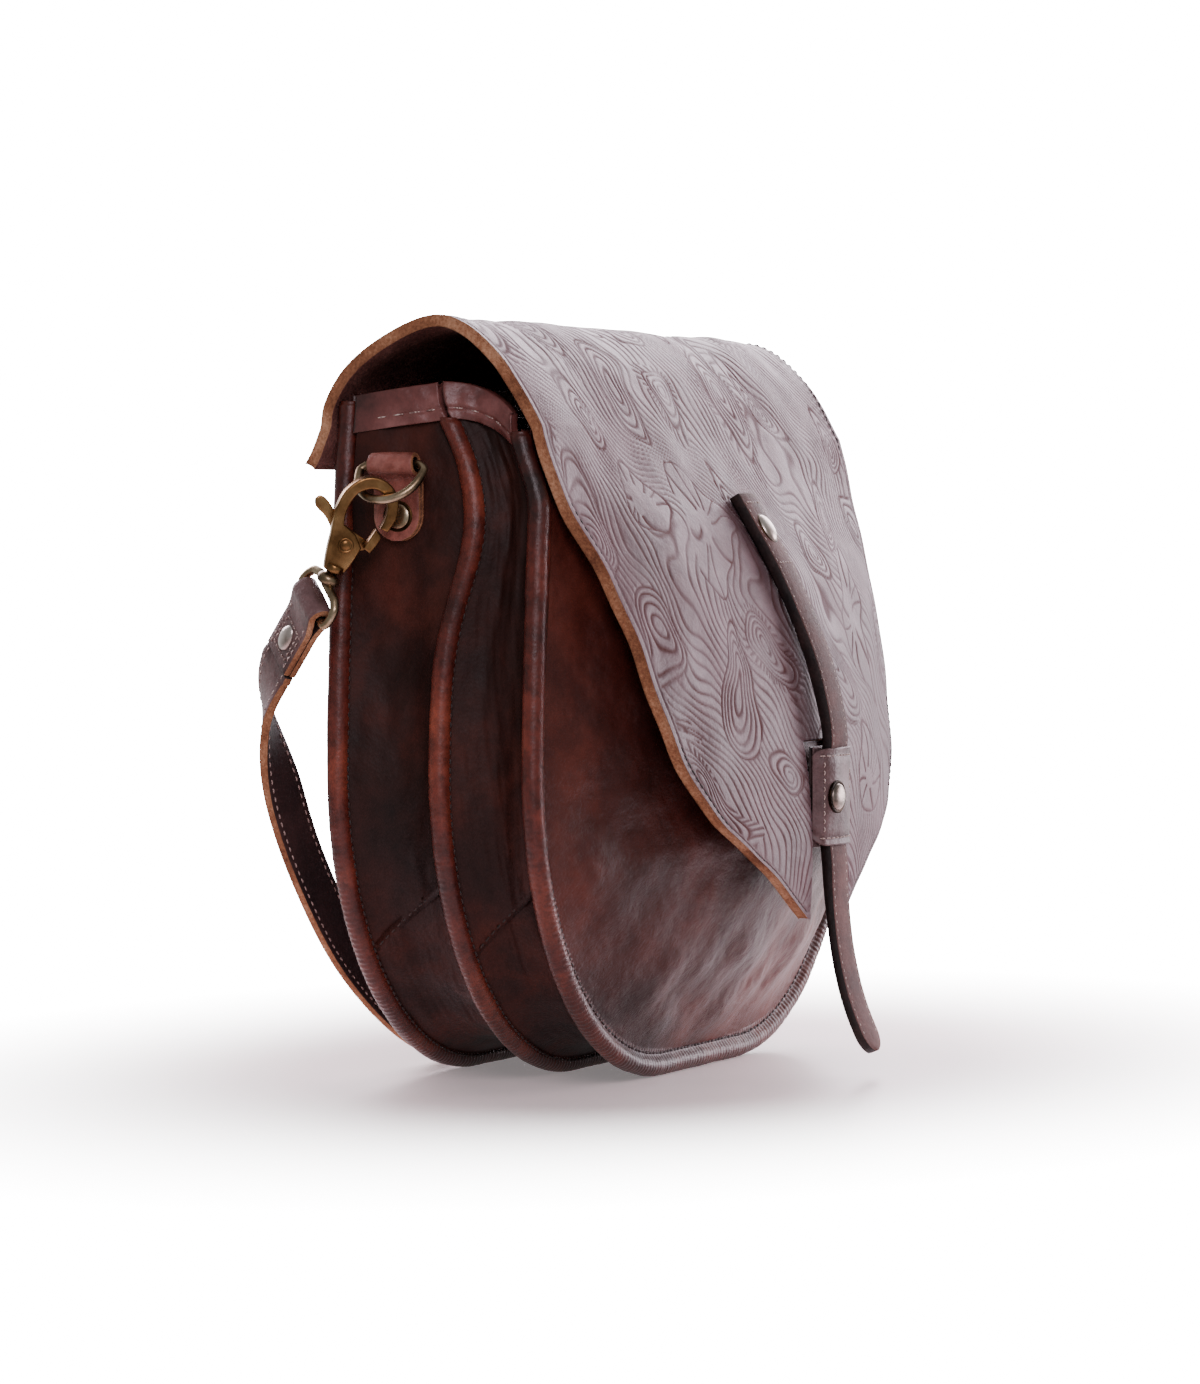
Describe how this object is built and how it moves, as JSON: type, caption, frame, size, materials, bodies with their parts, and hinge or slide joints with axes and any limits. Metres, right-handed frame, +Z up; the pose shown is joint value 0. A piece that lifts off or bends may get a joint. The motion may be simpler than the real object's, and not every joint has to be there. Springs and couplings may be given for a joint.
{
  "type": "saddle bag",
  "caption": "Leather shoulder bag with a three-rim accordion body, tooled wrap-over flap, padded snap closure strap and clip-on shoulder strap.",
  "frame": {"origin": "bottom centre of the whole part's bounding box, at the floor the bag stands on", "axes": "+X to the bag's right side seen from behind the flap, across its width, +Y towards the back panel, -Y towards the flap's front, +Z up"},
  "size_m": [0.3242, 0.1962, 0.2675],
  "materials": {
    "body_leather": "waxed, glossy, dark mahogany",
    "rim_leather": "burnished, red-brown",
    "hem_leather": "smooth, dark red-brown",
    "flap_leather": "tooled, satin sheen",
    "closure_leather": "padded, near-black edges",
    "strap_leather": "smooth, brown, raw edges",
    "brass": "antique, brushed",
    "nickel": "antique nickel plate"
  },
  "bodies": {
    "body": {"back_panel": "body_leather", "middle_panel": "body_leather", "front_panel": "body_leather", "rear_gusset_left": "body_leather", "rear_gusset_bottom": "body_leather", "rear_gusset_right": "body_leather", "front_gusset_left": "body_leather", "front_gusset_bottom": "body_leather", "front_gusset_right": "body_leather", "rear_rim": "rim_leather", "middle_rim": "rim_leather", "front_rim": "rim_leather", "rear_hem_left": "hem_leather", "rear_hem_right": "hem_leather", "front_hem_left": "hem_leather", "front_hem_right": "hem_leather", "back_panel_binding": "hem_leather", "middle_panel_binding": "hem_leather", "front_panel_binding": "hem_leather", "ring_tab_left": "hem_leather", "ring_tab_right": "hem_leather", "tab_rivet_left": "nickel", "tab_rivet_right": "nickel", "flap_rear": "flap_leather", "snap_stud": "brass", "shoulder_strap": "strap_leather"},
    "flap": {"flap": "flap_leather", "closure_strap": "closure_leather", "closure_rivet": "nickel", "closure_keeper": "strap_leather", "snap_cap": "nickel", "snap_socket": "brass"},
    "tail": {"closure_tail": "closure_leather"},
    "left_hanger": {"d_ring_left": "brass", "swivel_eye_left": "brass", "strap_end_left": "strap_leather", "strap_rivet_left": "nickel"},
    "right_hanger": {"d_ring_right": "brass", "swivel_eye_right": "brass", "strap_end_right": "strap_leather", "strap_rivet_right": "nickel"},
    "left_hook": {"hook_left": "brass", "hook_pin_left": "brass"},
    "right_hook": {"hook_right": "brass", "hook_pin_right": "brass"},
    "left_gate": {"hook_gate_left": "brass"},
    "right_gate": {"hook_gate_right": "brass"}
  },
  "joints": [
    {"name": "flap_hinge", "type": "hinge", "parent": "body", "child": "flap", "pos_m": [0, 0.0485, 0.2325], "axis": [-1, 0, 0], "range_deg": [0, 125]},
    {"name": "tail_bend", "type": "hinge", "parent": "flap", "child": "tail", "pos_m": [0, -0.0837, 0.0793], "axis": [-1, 0, 0], "range_deg": [0, 60]},
    {"name": "left_ring_swing", "type": "hinge", "parent": "body", "child": "left_hanger", "pos_m": [-0.1435, 0.0235, 0.217], "axis": [0, 1, 0], "range_deg": [0, 35]},
    {"name": "right_ring_swing", "type": "hinge", "parent": "body", "child": "right_hanger", "pos_m": [0.1435, 0.0235, 0.217], "axis": [0, -1, 0], "range_deg": [0, 35]},
    {"name": "left_hook_swivel", "type": "hinge", "parent": "left_hanger", "child": "left_hook", "pos_m": [-0.15409, 0.03681, 0.18988], "axis": [-0.087, 0.4339, -0.8968], "range_deg": [-12, 0]},
    {"name": "right_hook_swivel", "type": "hinge", "parent": "right_hanger", "child": "right_hook", "pos_m": [0.15409, 0.03681, 0.18988], "axis": [0.087, 0.4339, -0.8968], "range_deg": [0, 12]},
    {"name": "left_gate_pivot", "type": "hinge", "parent": "left_hook", "child": "left_gate", "pos_m": [-0.15409, 0.03681, 0.18988], "axis": [-0.8063, -0.5592, -0.1931], "range_deg": [0, 16], "stiffness_Nm_per_rad": 0.02},
    {"name": "right_gate_pivot", "type": "hinge", "parent": "right_hook", "child": "right_gate", "pos_m": [0.15409, 0.03681, 0.18988], "axis": [-0.8063, 0.5592, 0.1931], "range_deg": [0, 16], "stiffness_Nm_per_rad": 0.02}
  ]
}
